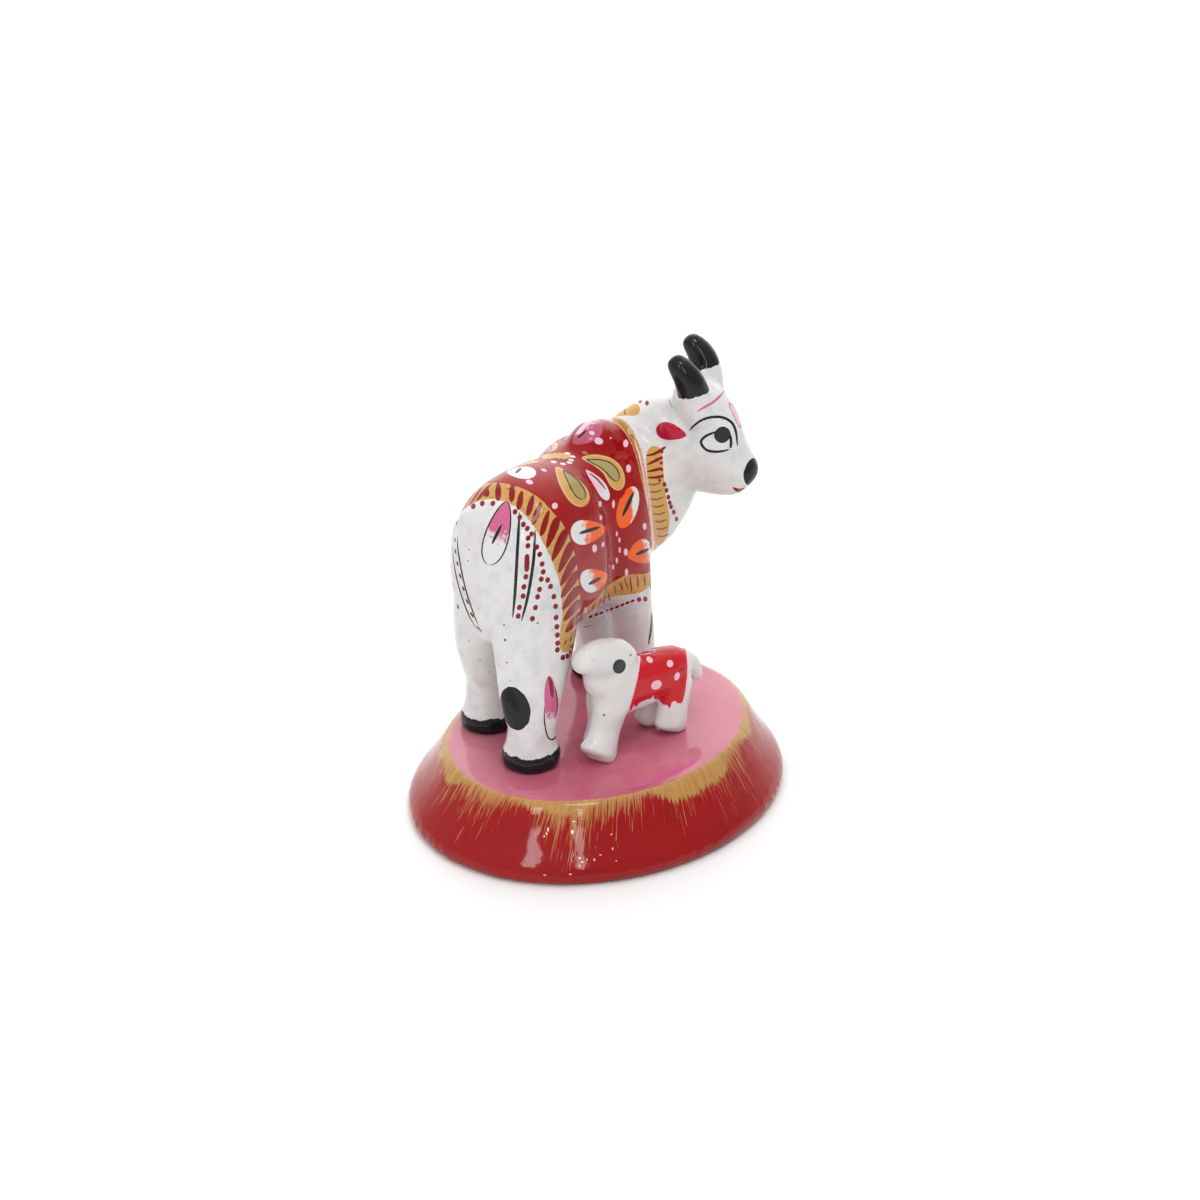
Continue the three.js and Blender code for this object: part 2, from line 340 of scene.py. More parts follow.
def relax(mesh, rounds, pull=0.5, push=-0.515):
    """Smooths a mesh without shrinking it: each round pulls and then pushes back a little more."""
    edges = np.empty(len(mesh.edges) * 2, np.int32)
    mesh.edges.foreach_get("vertices", edges)
    first, last = edges.reshape(-1, 2).T
    points = points_of(mesh)
    count = np.bincount(np.concatenate([first, last]), minlength=len(points))[:, None]
    for i in range(rounds * 2):
        total = np.empty_like(points)
        for axis in range(3):
            total[:, axis] = np.bincount(first, points[last, axis], len(points))
            total[:, axis] += np.bincount(last, points[first, axis], len(points))
        points += (pull if i % 2 == 0 else push) * (total / count - points)
    put_points(mesh, points)


def smoothed(node, name, grain, rounds):
    """A copy of a casting's mesh, remeshed in squares of a size, relaxed and subdivided."""
    piece = bpy.data.objects.new(name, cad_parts[node].data.copy())
    piece.data.materials.clear()
    bpy.context.scene.collection.objects.link(piece)
    remesh = piece.modifiers.new("squares", "REMESH")
    remesh.mode = "VOXEL"
    remesh.voxel_size = grain * MM
    with_modifiers(piece)
    relax(piece.data, rounds)
    finer = piece.modifiers.new("finer", "SUBSURF")
    finer.levels = 1
    with_modifiers(piece)
    for face in piece.data.polygons:
        face.use_smooth = True
    return piece


def plant(piece, reach=0.9, sink=0.08):
    """Closes the joint under a piece's feet, so they stand in the enamel of the base."""
    points = points_of(piece.data)
    share = np.clip(1 - (points[:, 2] - FEET) / reach, 0, 1)
    points[:, 2] -= share * (FEET - BASE_TOP + sink)
    put_points(piece.data, points)


def nuzzle(piece, start=6.5, reach=4.5, push=0.9, height=12, spread=2):
    """Presses the calf's muzzle up against the cow's leg."""
    points = points_of(piece.data)
    ahead = np.array([math.cos(CALF_TURN), math.sin(CALF_TURN), 0])
    share = np.clip(((points - CALF_PLACE) @ ahead - start) / reach, 0, 1)
    high = np.clip((points[:, 2] - FEET - height) / spread, 0, 1)
    put_points(piece.data, points + (share * high * push)[:, None] * ahead)


def dress(piece, node, material):
    piece.data.materials.append(material)
    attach(piece, "root")
    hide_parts(node)


# Marks: shapes as the photograph shows them, laid on what it shows them on


def mirror_about(point, normal):
    """The reflection in a plane, as a 4 by 4 matrix."""
    normal = Vector(normal).normalized()
    flip = Matrix.Identity(3)
    for row in range(3):
        for column in range(3):
            flip[row][column] -= 2 * normal[row] * normal[column]
    there = Matrix.Translation(point)
    return there @ flip.to_4x4() @ there.inverted()


# Mirrors in which a mark is laid on the other side too
PLAIN = Matrix.Identity(4)
ONE_SIDE = (PLAIN,)
BOTH_SIDES = (PLAIN, mirror_about((0, COW_Y, 0), (0, 1, 0)))
BOTH_CHEEKS = (PLAIN, mirror_about(HEAD_PLACE, HEAD_LEFT))
NECK_PLACE = (17.5, 3.5, 50)
NECK_TURN = math.radians(-35)
BOTH_NECK_SIDES = (PLAIN, mirror_about(NECK_PLACE, (-math.sin(NECK_TURN), math.cos(NECK_TURN), 0)))
BOTH_CALF_SIDES = (PLAIN, mirror_about(CALF_PLACE, (-math.sin(CALF_TURN), math.cos(CALF_TURN), 0)))
# The mirror for lines that show on the left rump alone
LEFT_RUMP_SHIFT = 1.2
LEFT_RUMP = (mirror_about((0, COW_Y - LEFT_RUMP_SHIFT, 0), (0, 1, 0)),)

# A depth that is well outside any region
OUTSIDE = -9.0


def reflected(mirror, points):
    return points @ np.array(mirror.to_3x3()).T + np.array(mirror.translation)


class Eye:
    """The photograph's camera: which pixel shows a point, and which line a pixel looks along."""

    def __init__(self, camera):
        self.place = np.array(camera.location / MM)
        self.turn = np.array(camera.matrix_world.to_3x3().normalized())

    def pixels(self, points):
        x, y, z = ((points - self.place) @ self.turn).T
        return np.column_stack([PHOTO_SIZE / 2 - FOCAL * x / z, PHOTO_SIZE / 2 + FOCAL * y / z])

    def ray(self, pixel):
        x = (pixel[0] - PHOTO_SIZE / 2) / FOCAL
        y = (PHOTO_SIZE / 2 - pixel[1]) / FOCAL
        return Vector(self.turn @ (x, y, -1)).normalized()


class Canvas:
    """A piece's surface: its corners and faces, and the place that a pixel shows on it."""

    def __init__(self, piece, eye):
        self.mesh = mesh = piece.data
        self.eye = eye
        self.points = points_of(mesh)
        self.corners = np.empty(len(mesh.loops), np.int32)
        mesh.loops.foreach_get("vertex_index", self.corners)
        sizes = np.empty(len(mesh.polygons), np.int32)
        mesh.polygons.foreach_get("loop_total", sizes)
        self.faces = np.repeat(np.arange(len(sizes)), sizes)
        self.centres = np.empty((len(sizes), 3))
        for axis in range(3):
            self.centres[:, axis] = np.bincount(self.faces, self.points[self.corners, axis]) / sizes
        self.normals = np.empty(len(sizes) * 3, np.float32)
        mesh.polygons.foreach_get("normal", self.normals)
        self.normals = self.normals.reshape(-1, 3)
        faces = [tuple(face.vertices) for face in mesh.polygons]
        self.tree = BVHTree.FromPolygons([Vector(p) for p in self.points], faces)

    def seen(self, pixel, search=60, steps=121):
        """The place that a pixel shows, or the nearest one where it shows none."""
        start, ray = Vector(self.eye.place), self.eye.ray(pixel)
        place = self.tree.ray_cast(start, ray)[0]
        if place is None:
            reaches = np.linspace(DISTANCE - search, DISTANCE + search, steps)
            tries = [start + ray * reach for reach in reaches]
            place = min((self.tree.find_nearest(p) for p in tries), key=lambda found: found[3])[0]
        return np.array(place)

    def seen_in(self, mirror, grazing=0.06):
        """The faces that the photograph would show in a mirror: their numbers, centres and pixels."""
        centres = reflected(mirror, self.centres)
        look = self.eye.place - centres
        look /= np.linalg.norm(look, axis=1)[:, None]
        normals = self.normals @ np.array(mirror.to_3x3()).T
        shown = np.nonzero(np.einsum("ij,ij->i", normals, look) > grazing)[0]
        return shown, centres[shown], self.eye.pixels(centres[shown])

    def write_cover(self, name, outline, mirrors):
        """Writes how far each vertex is inside an outline in the photograph, in millimetres. Of the
        mirrors, each vertex is seen in the one that brings it nearest to the camera."""
        outline = np.array(outline, float)
        edge = curve_through([*outline, outline[0]], 1.0)
        depth = np.full(len(self.points), OUTSIDE)
        nearest = np.full(len(self.points), np.inf)
        for mirror in mirrors:
            points = reflected(mirror, self.points)
            far = np.linalg.norm(self.eye.place - points, axis=1)
            pixels = self.eye.pixels(points)
            gap = nearest_gap(pixels, edge) * PIXEL
            gap = np.where(inside(pixels, edge), gap, -gap)
            depth = np.where(far < nearest, gap, depth)
            nearest = np.minimum(far, nearest)
        self.write_vertices(name, depth)

    def write_vertices(self, name, values, kind="FLOAT"):
        self.write(name, values, kind, "POINT")

    def write(self, name, values, kind="FLOAT_VECTOR", domain="CORNER"):
        made = self.mesh.attributes.new(name, kind, domain)
        key = {"FLOAT": "value", "FLOAT_VECTOR": "vector", "FLOAT_COLOR": "color"}[kind]
        made.data.foreach_set(key, values.astype(np.float32).ravel())


def curve_through(points, step=2.0):
    """Points along a smooth curve through the points given, about a step apart."""
    points = [np.array(p, float) for p in points]
    ends = [2 * points[0] - points[1], *points, 2 * points[-1] - points[-2]]
    made = [points[0]]
    for before, start, end, after in zip(ends, ends[1:], ends[2:], ends[3:]):
        count = max(1, round(np.linalg.norm(end - start) / step))
        for i in range(1, count + 1):
            t = i / count
            made.append(0.5 * (
                2 * start + (end - before) * t
                + (2 * before - 5 * start + 4 * end - after) * t * t
                + (3 * start - before - 3 * end + after) * t ** 3))
    return np.array(made)


def inside(flat, outline):
    """Which flat points are inside a closed outline."""
    crossings = np.zeros(len(flat), int)
    for (x0, y0), (x1, y1) in zip(outline, np.roll(outline, -1, axis=0)):
        spans = (y0 > flat[:, 1]) != (y1 > flat[:, 1])
        if y0 != y1:
            reach = x0 + (flat[:, 1] - y0) * (x1 - x0) / (y1 - y0)
            crossings += spans & (flat[:, 0] < reach)
    return crossings % 2 == 1


def nearest_gap(points, line):
    gap = np.full(len(points), np.inf)
    for spot in line:
        gap = np.minimum(gap, ((points - spot) ** 2).sum(1))
    return np.sqrt(gap)


NO_CHANGE = (0, 0, 9)


class Layer:
    """Painted marks beside each other: each face of the mesh takes the nearest one. Widths and
    lengths are in pixels of the photograph. A mark is wide in the middle and ends in points: taper
    makes it fatter towards its end, and fullness makes its sides straighter. Its other colour shows
    where a * along + b * across > c, with both from -1 to 1 and change as (a, b, c)."""

    def __init__(self, name, canvas):
        self.name = name
        self.canvas = canvas
        self.marks = []
        self.samples = []

    def path(self, pixels, half_width, fill, half_length=None, taper=0.0, fullness=2.0, other=None,
             change=NO_CHANGE, edge=None, edge_width=0.0, mirrors=ONE_SIDE):
        """A mark along a smooth line through pixels. One through two points is straight."""
        line = curve_through(pixels) if len(pixels) > 2 else np.array(pixels, float)
        steps = np.linalg.norm(np.diff(line, axis=0), axis=1)
        along = np.concatenate([[0], np.cumsum(steps)])
        tangents = np.gradient(line, axis=0)
        if len(pixels) == 2:
            line, along, tangents = line.mean(0)[None], along[1:] / 2, tangents[:1]
        half = half_length or (steps.sum() / 2)
        reach = 0 if len(line) == 1 else steps.mean() / 2
        tangents = tangents / np.linalg.norm(tangents, axis=1)[:, None]
        number = len(self.marks)
        self.marks.append({
            "form": (half_width * PIXEL, taper, fullness), "half": half, "wide": half_width,
            "reach": reach, "fill": fill, "other": other or fill, "change": change,
            "edge": edge or fill, "edge_width": edge_width * PIXEL if edge else OUTSIDE,
        })
        for spot, tangent, ahead in zip(line, tangents, along - steps.sum() / 2):
            place = self.canvas.seen(spot)
            for mirror in mirrors:
                self.samples.append((spot, tangent, ahead, place, mirror, number))

    def dot(self, pixel, half_length, half_width, fill, lean=0, **more):
        """An oval: lean turns it clockwise from upright, in degrees."""
        turn = math.radians(lean)
        half = np.array([math.sin(turn), -math.cos(turn)]) * half_length
        self.path([pixel - half, pixel + half], half_width, fill, **more)

    def write(self, most_gap=4.0, least_room=3, room_share=0.4, fattest=1.3):
        """Writes the attributes that marks_over reads, for each corner of each face. A face takes a
        mark whose edge is at most a gap away in pixels and whose place is within a room of
        millimetres. A mark is at its fattest so many times its half-width."""
        canvas = self.canvas
        chosen = np.full(len(canvas.centres), -1)
        best = np.full(len(canvas.centres), most_gap)
        for mirror in {id(s[4]): s[4] for s in self.samples}.values():
            shown, centres, pixels = canvas.seen_in(mirror)
            for number, (spot, tangent, _, place, used, mark) in enumerate(self.samples):
                if used is not mirror:
                    continue
                mark = self.marks[mark]
                long = mark["reach"] or mark["half"]
                offset = pixels - spot
                near = max(long, mark["wide"] * fattest) + most_gap + 1
                picked = np.nonzero(np.abs(offset).max(1) < near)[0]
                ahead = np.abs(offset[picked] @ tangent) - long
                aside = np.abs(offset[picked] @ (-tangent[1], tangent[0]))
                gap = np.maximum(ahead, aside - mark["wide"])
                if mark["reach"]:
                    gap = np.hypot(np.maximum(ahead, 0), aside) - mark["wide"]
                room = least_room + room_share * max(long, mark["wide"])
                good = ((centres[picked] - place) ** 2).sum(1) < room ** 2
                faces = shown[picked]
                better = good & (gap < best[faces])
                best[faces[better]] = gap[better]
                chosen[faces[better]] = number
        self._store(chosen)

    def _store(self, chosen, far_along=5.0, far_across=9.0):
        canvas = self.canvas
        sample = chosen[canvas.faces]
        along, across = np.full(len(sample), far_along), np.full(len(sample), far_across)
        numbers = np.array([s[5] for s in self.samples])
        halves = np.array([m["half"] for m in self.marks])
        widths = np.array([m["wide"] for m in self.marks])
        for mirror in {id(s[4]): s[4] for s in self.samples}.values():
            used = np.array([s[4] is mirror for s in self.samples])
            here = np.nonzero((sample >= 0) & used[sample])[0]
            points = reflected(mirror, canvas.points[canvas.corners[here]])
            picked = sample[here]
            spots, tangents, ahead = (np.array([s[i] for s in self.samples])[picked] for i in range(3))
            offset = canvas.eye.pixels(points) - spots
            along[here] = (np.einsum("ij,ij->i", offset, tangents) + ahead) / halves[numbers[picked]]
            across[here] = offset[:, 1] * tangents[:, 0] - offset[:, 0] * tangents[:, 1]
        mark = np.where(sample >= 0, numbers[sample], 0)
        change = np.array([m["change"] for m in self.marks])[mark]
        second = change[:, 0] * along + change[:, 1] * across / widths[mark] - change[:, 2]
        place = np.column_stack([along, across * PIXEL, second])
        canvas.write(self.name + "_place", place)
        canvas.write(self.name + "_form", np.array([m["form"] for m in self.marks])[mark])
        for key in ("fill", "other", "edge"):
            colours = np.array([(*m[key], m["edge_width"]) for m in self.marks])[mark]
            canvas.write(f"{self.name}_{key}", colours, "FLOAT_COLOR")


# The cloth on the cow's back: a region of the body, the same on both sides

# The forelegs are bare up to this height, and so is the belly, within half its width
FORELEG_TOP = 31.5
BELLY_TOP = 36
BELLY_HALF_WIDTH = 4.5
# An angle down from the back that no edge of the cloth reaches
BARE_ANGLE = 4
# Where the cloth ends on the left shoulder, and up to which height
LEFT_SHOULDER_END = 13.4
LEFT_SHOULDER_TOP = 41

# The lower edges of the cloth and of its red field, from the back behind to the back in front
CLOTH_EDGE = (
    (499, 500), (508, 502.5), (519, 509.5), (530.3, 521.6), (536.8, 531.3), (546.5, 549),
    (552.9, 563.5), (560.2, 586), (562.1, 612), (560.2, 631), (559.6, 645), (561.5, 651),
    (566, 652.5), (572.5, 646), (577.1, 637.7), (580.5, 624.8), (589, 614.5), (608.4, 608),
    (631, 599.2), (650.3, 596), (654, 590), (655.5, 575), (656.3, 553), (653.5, 529),
    (650.3, 503), (645.5, 472.6), (640.6, 448.4), (632.6, 430.6), (624.5, 421), (613.2, 416.5),
    (603, 416),
)
FIELD_EDGE = (
    (507, 489), (517.4, 486.5), (536.8, 496.6), (549.7, 508.7), (564.2, 526.5), (573.9, 550.6),
    (577.9, 573.2), (580, 599), (579.5, 612), (580.5, 616), (584.2, 609.7), (598.7, 596.8),
    (608.4, 585.5), (624.5, 575.8), (637.4, 574.2), (648, 573), (651.5, 566), (652.5, 553.2),
    (650.5, 529), (646.5, 503.2), (641, 478), (636.5, 458), (629.5, 440), (620.5, 427.5),
    (610, 421), (600, 418.5),
)


def round_the_body(points):
    """Each point's place along the body and its angle down from the back, both sides alike."""
    side = np.abs(points[:, 1] - COW_Y)
    angle = np.arctan2(side, points[:, 2] - BODY_MIDDLE)
    angle[(side < BELLY_HALF_WIDTH) & (points[:, 2] < BELLY_TOP)] = math.pi
    angle[(points[:, 0] > 0) & (points[:, 2] < FORELEG_TOP)] = BARE_ANGLE
    return np.column_stack([points[:, 0], angle])


def write_region(canvas, name, pixels):
    """Writes how far each vertex is inside the region whose lower edge runs through the pixels."""
    line = np.array([canvas.seen(p) for p in curve_through(pixels)])
    both = np.concatenate([line, line * (1, -1, 1) + (0, 2 * COW_Y, 0)])
    flat = round_the_body(line)
    closed = np.concatenate([[[flat[0, 0], -1]], flat, [[flat[-1, 0], -1]]])
    gap = nearest_gap(canvas.points, both)
    within = inside(round_the_body(canvas.points), closed)
    depth = np.where(within, gap, -gap)
    x, y, z = canvas.points.T
    shoulder = (y > COW_Y) & (z < LEFT_SHOULDER_TOP)
    canvas.write_vertices(name, np.where(shoulder, np.minimum(depth, LEFT_SHOULDER_END - x), depth))


# The cow's horns, and the spots of paint that wrap round a form

HORN_LEAN = math.radians(37)
# How far each horn is from the head's middle, and how far along it the black starts
HORN_CLEARANCE = 1.9
RIGHT_HORN_BLACK = 9.0
LEFT_HORN_BLACK = 10.4

# The middle of the tail's tuft, of the nose, which shows from the side, and of the brow's petal
TUFT_PIXEL = (513, 709)
NOSE_PIXEL = (752, 474)
NOSE_SHIFT = (0.9, -0.6, 0)
BROW_PIXEL = (736, 418)
# Half-width and half-length of each spot
TUFT_SIZE = (2.65, 3.7)
NOSE_SIZE = (2.7, 2.5)
BROW_SIZE = (1.05, 4.0)
UPRIGHT = (0, 0, 1)
TUFT_AXIS = (-0.25 * math.cos(TURN), 0.25 * math.sin(TURN), 1)


def write_horns(canvas):
    """Writes how far each vertex is along a horn from the black's lower edge."""
    rise = np.cross(HEAD_AHEAD, HEAD_LEFT)
    place = canvas.points - HEAD_PLACE
    along = place @ (rise * math.sin(HORN_LEAN) - HEAD_AHEAD * math.cos(HORN_LEAN))
    aside = place @ HEAD_LEFT
    above = along - np.where(aside > 0, LEFT_HORN_BLACK, RIGHT_HORN_BLACK)
    canvas.write_vertices("horn", np.minimum(above, np.abs(aside) - HORN_CLEARANCE))


def write_spot(canvas, name, middle, size, axis):
    """Writes how far each vertex is inside an oval spot that wraps round the surface, long along
    an axis."""
    half_width, half_length = size
    offset = canvas.points - middle
    along = offset @ axis / np.linalg.norm(axis)
    aside = np.sqrt(np.maximum((offset ** 2).sum(1) - along ** 2, 0))
    share = np.hypot(along / half_length, aside / half_width)
    canvas.write_vertices(name, (1 - share) * half_width)


def write_spots(canvas):
    write_spot(canvas, "tuft", canvas.seen(TUFT_PIXEL), TUFT_SIZE, TUFT_AXIS)
    write_spot(canvas, "nose", canvas.seen(NOSE_PIXEL) + NOSE_SHIFT, NOSE_SIZE, UPRIGHT)
    brow = canvas.seen(BROW_PIXEL)
    brow = brow - ((brow - HEAD_PLACE) @ HEAD_LEFT) * HEAD_LEFT
    write_spot(canvas, "brow", brow, BROW_SIZE, HEAD_AHEAD)


# Marks on the cow: each one's path in pixels, its half-width, and more about how it is painted

BOTH = {"mirrors": BOTH_SIDES}
PAISLEY = {"taper": 0.45, "edge": PALE_GOLD, "edge_width": 1.6, **BOTH}
PETAL = {"taper": -0.4, "other": ORANGE, **BOTH}
WIDE_MARKS = (
    # gold paisleys
    (((556, 467), (566, 480), (576, 492), (586, 505)), 10, GOLD, PAISLEY),
    (((582, 457.5), (598, 461), (612, 470), (620, 490)), 8.5, GOLD, PAISLEY),
    # petals, white at the round end and orange towards the tip
    (((571, 534.5), (606, 528.5)), 11.5, WHITE, {"change": (1, 0, -0.15), **PETAL}),
    (((581, 584), (608, 575)), 11, WHITE, {"change": (1, 0, -0.1), **PETAL}),
    (((653, 548), (628, 557)), 11.5, WHITE, {"change": (1, 0, -0.5), **PETAL}),
    (((634, 486.5), (621.5, 528)), 10, ORANGE, {"other": WHITE, "change": (-0.6, -1, 0.5), **BOTH}),
    # the petals on the hump and behind the shoulder, and a petal and a stroke on the back
    (((573, 443), (601, 424)), 9.5, SOFT_PINK,
     {"taper": 0.35, "other": PALE_PINK, "change": (0, -1, 0.5)}),
    (((586, 470), (599, 484), (608, 500)), 5, PALE_PINK,
     {"taper": 0.4, "other": WHITE, "change": (1, 0, 0.3), **BOTH}),
    (((507, 472), (536, 473)), 6, WHITE, {"taper": 0.3}),
    (((541, 456.5), (571, 456)), 3.6, GOLD, {}),
    # the petals over the root of the tail and on the hind leg
    (((507, 501.5), (488.5, 565)), 12.4, HOT_PINK,
     {"taper": 0.25, "other": WHITE, "change": (1, 0, 0.1), "edge": BLACK, "edge_width": 1.5}),
    (((549.5, 676), (552, 728)), 6.4, HOT_PINK, {"other": WHITE, "change": (1, 0, 0.55)}),
    # the collar's band, the patch on the crest, and the ear
    (((654, 446), (655, 472), (657.5, 497), (661, 522), (656, 545)), 8.5, GOLD,
     {"fullness": 10, "mirrors": BOTH_NECK_SIDES}),
    (((611, 411.5), (625, 409), (640, 410)), 6.5, GOLD, {"fullness": 5}),
    (((656, 428.5), (686.5, 435.5)), 8.9, CRIMSON, {"taper": -0.35, "edge": PALE_PINK, "edge_width": 0.7}),
)

SLIM_LEAF = {"taper": 0.2}
FAT_LEAF = {"taper": -0.35, "fullness": 2.6, **BOTH}
LONG = {"fullness": 3}
ALONG_BORDER = {"fullness": 4, **BOTH}
ON_COLLAR = {"fullness": 3, "mirrors": BOTH_NECK_SIDES}
OUTLINE = {"edge": SLATE, "edge_width": 1.3, **BOTH}
ON_FACE = {"fullness": 4, "mirrors": BOTH_CHEEKS}
# Groups of fine strokes: half-width, colour, how they are painted, and their paths
FINE_STROKES = (
    # leaves on the rear border: slim across the back and over the rump, fat lower down
    (3.0, DARK_RED, SLIM_LEAF, (
        ((487, 488), (486, 497)), ((498.3, 482), (498, 501)), ((512.5, 483.5), (511.5, 502)),
        ((522, 490.5), (518.3, 510)))),
    (3.0, DARK_RED, {**SLIM_LEAF, **BOTH}, (
        ((533.3, 495), (527.5, 516)), ((541, 502), (532.5, 525)), ((549, 510), (541, 536)))),
    (3.9, DARK_RED, FAT_LEAF, (
        ((558, 517), (546.7, 548)), ((566.5, 529), (552, 561)), ((573, 541), (558.5, 573)),
        ((576.5, 556), (560.5, 586)), ((578, 571), (561, 598)), ((580, 586), (562, 610)),
        ((581, 600), (563.5, 621)), ((581, 613.5), (565.5, 632.5)))),
    # two tapering lines down the rump, and two on its left side
    (1.6, BLACK, LONG, (
        ((519.5, 512), (517.4, 550.6), (515, 592.6), (512.6, 618)),
        ((535.2, 529.7), (533.5, 560.3), (527.9, 595.8), (521.5, 621)))),
    (1.1, BLACK, {**LONG, "mirrors": LEFT_RUMP}, (
        ((537, 560), (524.5, 599), (511, 636)), ((545.5, 572), (531, 609), (514, 644)))),
    # strokes down the lower border from the field
    (0.7, RUST, BOTH, (((614.5, 586), (616, 594)),)),
    (0.8, RUST, BOTH, (
        ((650.5, 575.5), (650.5, 590)), ((624, 577), (628.3, 590)), ((605, 597), (603, 606)))),
    (0.9, RUST, BOTH, (((608.3, 593), (609.6, 601)), ((601, 598), (599.5, 606)))),
    (1.0, RUST, BOTH, (((630, 575.5), (631.7, 593.5)),)),
    (1.1, RUST, BOTH, (
        ((644.2, 575), (645.4, 586)), ((637.1, 575.5), (638.3, 588)), ((620.5, 582), (622.5, 591)),
        ((595, 603), (591.5, 611)))),
    # lines along the front border, and pale ones along its edge, a painted highlight on the cloth's raised
    # edge
    (0.55, BROWN, ALONG_BORDER, (
        ((606, 417.5), (619, 421), (629, 431), (637, 447), (642, 466), (646, 488)),
        ((612, 419.5), (622.5, 426), (631.5, 440), (638, 458), (643, 480)))),
    # painted highlight along the cloth's raised front edge
    (0.9, PALE_PINK, ALONG_BORDER, (
        ((640.5, 446), (645, 466), (648.5, 490), (651.5, 520), (653.5, 548), (652.5, 572)),
        ((634.5, 440), (640, 458), (644.5, 480), (648, 506)))),
    # wavy strokes across the collar's upper half
    (1.5, DARK_RED, {"taper": 0.3, **ON_COLLAR}, (
        ((645.8, 455.8), (653.3, 454.2), (660, 450.8), (665.8, 446.7)),
        ((646.7, 465), (653.3, 461.7), (661.7, 457.5)), ((647, 471.7), (655, 470), (662.5, 468)),
        ((647.5, 477.5), (654, 477.5), (660, 476.7), (664, 475)))),
    # outlines within the paisleys
    (5.6, OLIVE, {"taper": 0.5, **OUTLINE}, (((563, 470), (573, 482), (584, 499)),)),
    (5.2, OLIVE, {"taper": 0.55, **OUTLINE}, (((586, 459.5), (602, 464), (611, 470), (618, 481)),)),
    # a dark stroke in each petal
    (1.9, BLACK, BOTH, (
        ((579, 533.5), (600, 527)), ((588.5, 584.5), (601, 577.5)), ((636, 554.6), (649, 549)),
        ((633.6, 492.5), (622.5, 516.5)))),
    (0.8, SLATE, BOTH, (((588.5, 472.5), (597, 479), (606, 489.5)),)),
    (1.3, BLACK, {}, (((586.7, 430), (577.5, 438)),)),
    (1.5, BLACK, {}, (((515.4, 473), (521.5, 468)),)),
    (1.6, BLACK, {}, (((501.5, 524.5), (492, 544)),)),
    # in and round the petal on the hind leg, and the foreleg's line
    (2.0, MAROON, {}, (((548.5, 676), (551, 684), (552.5, 698)),)),
    (0.8, MAROON, {}, (((555, 686), (557.5, 702), (556.5, 716)),)),
    (0.75, BLACK, {}, (
        ((544.5, 706), (544.5, 722), (547.5, 736), (552, 739.5), (556.5, 735), (557, 724)),)),
    (1.2, BLACK, {}, (((651.8, 612), (651.3, 627), (648.3, 645)),)),
    # smears beside the tail and at the cloth's corner and tip, a grey line of painted shadow in the crease
    # under the belly, and a line on the crest
    (0.5, BROWN, {}, (((487, 485), (488, 492)),)),
    # painted shadow in the crease under the belly
    (0.4, GREY, {}, (((582, 627.5), (587.5, 626.5), (593.3, 624.6)),)),
    (1.7, RUST, {"taper": 0.4}, (((569.5, 642), (573, 636), (576, 628)),)),
    (0.9, BROWN, {}, (((564, 645), (567, 640)), ((625, 403), (624.5, 415)))),
    # the brow, the outline of the eye, pink lines round the horns, and the mouth
    (1.35, BLACK, ON_FACE, (
        ((689.2, 431), (694.5, 425.2), (703, 419.5), (713.4, 417), (722.9, 417.6), (731.4, 422.4),
         (735.7, 431), (737.6, 446)),
        ((717, 431.6), (708.7, 434.6), (703, 438.4), (701.1, 442.6), (704, 447.9), (709.6, 451),
         (719.1, 451.6), (729.5, 449.6)))),
    (1.4, BLACK, ON_FACE, (((730.2, 434.5), (731.1, 442.2), (730.4, 448.6)),)),
    (1.3, HOT_PINK, {}, (((696.4, 412), (705.9, 406.3), (713.4, 402), (721, 395), (725.7, 388.3)),)),
    (0.5, HOT_PINK, {}, (((668, 395.9), (670, 402.5), (672.8, 408.2)),)),
    (0.9, HOT_PINK, {}, (((637, 401.5), (650, 394.5), (668, 388)),)),
    (1.9, RED, {"taper": 0.2}, (((732.5, 487.5), (739, 490.5), (746.5, 488.5)),)),
)
# Thin lines across the collar's lower half: how many, the first one's height and its two ends, what
# each next one adds, and how far they dip in the middle and rise at the end
COLLAR_LINES = 8
COLLAR_LINE_FIRST = (484, 647.5, 661.5)
COLLAR_LINE_NEXT = (7.4, 1.35, 1.1)
COLLAR_LINE_DIP = 0.6
COLLAR_LINE_RISE = 1.8
COLLAR_LINE_WIDTH = 0.75

